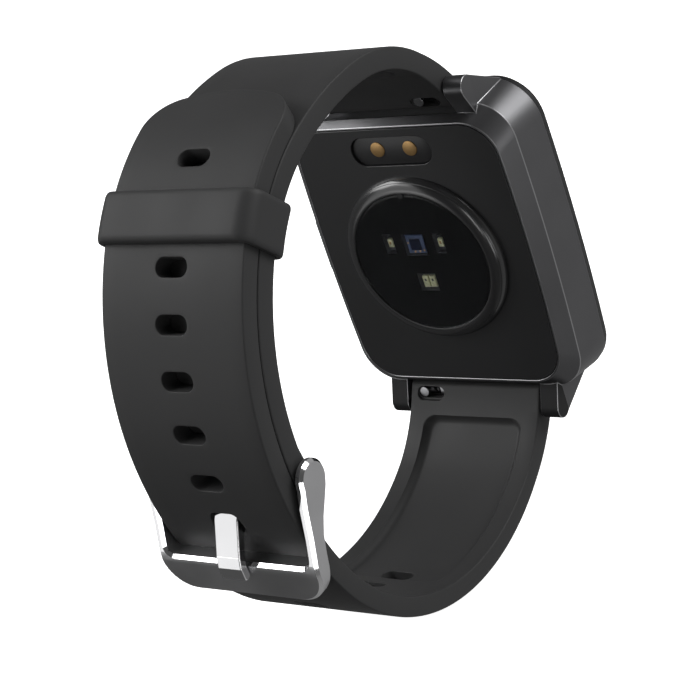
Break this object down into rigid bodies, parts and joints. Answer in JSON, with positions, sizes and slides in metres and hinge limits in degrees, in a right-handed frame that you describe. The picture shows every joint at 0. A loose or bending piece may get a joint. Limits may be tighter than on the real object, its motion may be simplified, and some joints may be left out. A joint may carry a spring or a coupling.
{
  "type": "smartwatch",
  "caption": "Rectangular smartwatch with curved glass, sensor back and charging contacts, on a buckled quick-release silicone strap.",
  "frame": {"origin": "centre of the case back's flat face, inside the sensor ring", "axes": "+Z towards 12 o'clock, +Y out of the case back to the wrist, +X towards 3 o'clock as seen from the display"},
  "size_m": [0.0367, 0.0617, 0.0691],
  "materials": {
    "case_finish": "satin, bead-blasted and anodised dark grey",
    "cover_finish": "gloss black moulding, fine polish",
    "sensor_ring_finish": "gloss black moulding",
    "sensor_glass": "smoked optical window",
    "barrier_black": "light-tight matt black",
    "led_lens": "clear encapsulant over pale yellow phosphor",
    "diode_glass": "filter glass with a blue cast",
    "board_laminate": "green solder mask",
    "chip_black": "matt black epoxy",
    "flex_film": "amber polyimide film",
    "insert_black": "fine matt black",
    "contact_gold": "gold plated, lightly worn",
    "magnet_nickel": "nickel plated",
    "bezel_black": "smooth black",
    "display_glass": "polished black cover glass",
    "panel_black": "dark display stack",
    "stamped_steel": "plain stamped sheet",
    "battery_foil": "soft foil pouch",
    "foam_grey": "closed-cell foam and adhesive",
    "tape_yellow": "insulating tape",
    "button_finish": "satin dark grey",
    "seal_rubber": "soft black",
    "strap_silicone": "matt liquid silicone rubber, soft touch",
    "polished_steel": "satin faces with polished bevels",
    "pin_steel": "drawn stainless wire and tube"
  },
  "bodies": {
    "case": {"mid_frame": "case_finish", "back_cover": "cover_finish", "back_seal": "foam_grey", "sensor_ring": "sensor_ring_finish", "sensor_window": "sensor_glass", "light_barrier": "barrier_black", "green_leds": "led_lens", "red_ir_led": "led_lens", "photodiode": "diode_glass", "sensor_board": "board_laminate", "sensor_flex": "flex_film", "charge_insert": "insert_black", "charge_contacts": "contact_gold", "charge_flex": "flex_film", "charge_magnets": "magnet_nickel", "front_bezel": "bezel_black", "glass_adhesive": "foam_grey", "cover_glass": "display_glass", "display_panel": "panel_black", "display_bracket": "stamped_steel", "display_flex": "flex_film", "main_board": "board_laminate", "board_screws": "pin_steel", "shield_can": "stamped_steel", "board_chips": "chip_black", "battery": "battery_foil", "battery_pad": "foam_grey", "battery_tab": "tape_yellow", "antenna": "flex_film", "motor_case": "stamped_steel", "motor_shaft": "pin_steel", "button_switch": "stamped_steel", "button_seal": "seal_rubber", "short_strap": "strap_silicone", "long_strap": "strap_silicone", "top_bar_tube": "pin_steel", "top_bar_fixed_tip": "pin_steel", "top_bar_spring": "pin_steel", "bottom_bar_tube": "pin_steel", "bottom_bar_fixed_tip": "pin_steel", "bottom_bar_spring": "pin_steel"},
    "button": {"side_button": "button_finish", "switch_plunger": "chip_black", "button_clip": "pin_steel"},
    "rotor": {"motor_rotor": "pin_steel"},
    "keeper": {"keeper_loop": "strap_silicone"},
    "buckle": {"buckle_frame": "polished_steel", "buckle_bar": "pin_steel"},
    "tongue": {"buckle_tongue": "polished_steel"},
    "top_release": {"top_bar_release_pin": "pin_steel"},
    "bottom_release": {"bottom_bar_release_pin": "pin_steel"}
  },
  "joints": [
    {"name": "button_press", "type": "slide", "parent": "case", "child": "button", "axis": [-1, 0, 0], "range_m": [0, 0.0003], "stiffness_N_per_m": 600, "springref_m": -0.0008},
    {"name": "motor_spin", "type": "hinge", "parent": "case", "child": "rotor", "pos_m": [0.0077, -0.0038, -0.01335], "axis": [0, 1, 0], "continuous": true},
    {"name": "keeper_slide", "type": "hinge", "parent": "case", "child": "keeper", "pos_m": [0, 0.02029, 0.00754], "axis": [1, 0, 0], "range_deg": [-1, 16]},
    {"name": "buckle_lift", "type": "hinge", "parent": "case", "child": "buckle", "pos_m": [0, 0.0461, -0.0014], "axis": [1, 0, 0], "range_deg": [0, 4]},
    {"name": "tongue_lift", "type": "hinge", "parent": "buckle", "child": "tongue", "pos_m": [0, 0.0461, -0.0014], "axis": [1, 0, 0], "range_deg": [0, 3]},
    {"name": "top_release_slide", "type": "slide", "parent": "case", "child": "top_release", "axis": [-1, 0, 0], "range_m": [0, 0.0016], "stiffness_N_per_m": 400, "springref_m": -0.0015, "deforming": ["top_bar_spring"]},
    {"name": "bottom_release_slide", "type": "slide", "parent": "case", "child": "bottom_release", "axis": [-1, 0, 0], "range_m": [0, 0.0016], "stiffness_N_per_m": 400, "springref_m": -0.0015, "deforming": ["bottom_bar_spring"]}
  ]
}
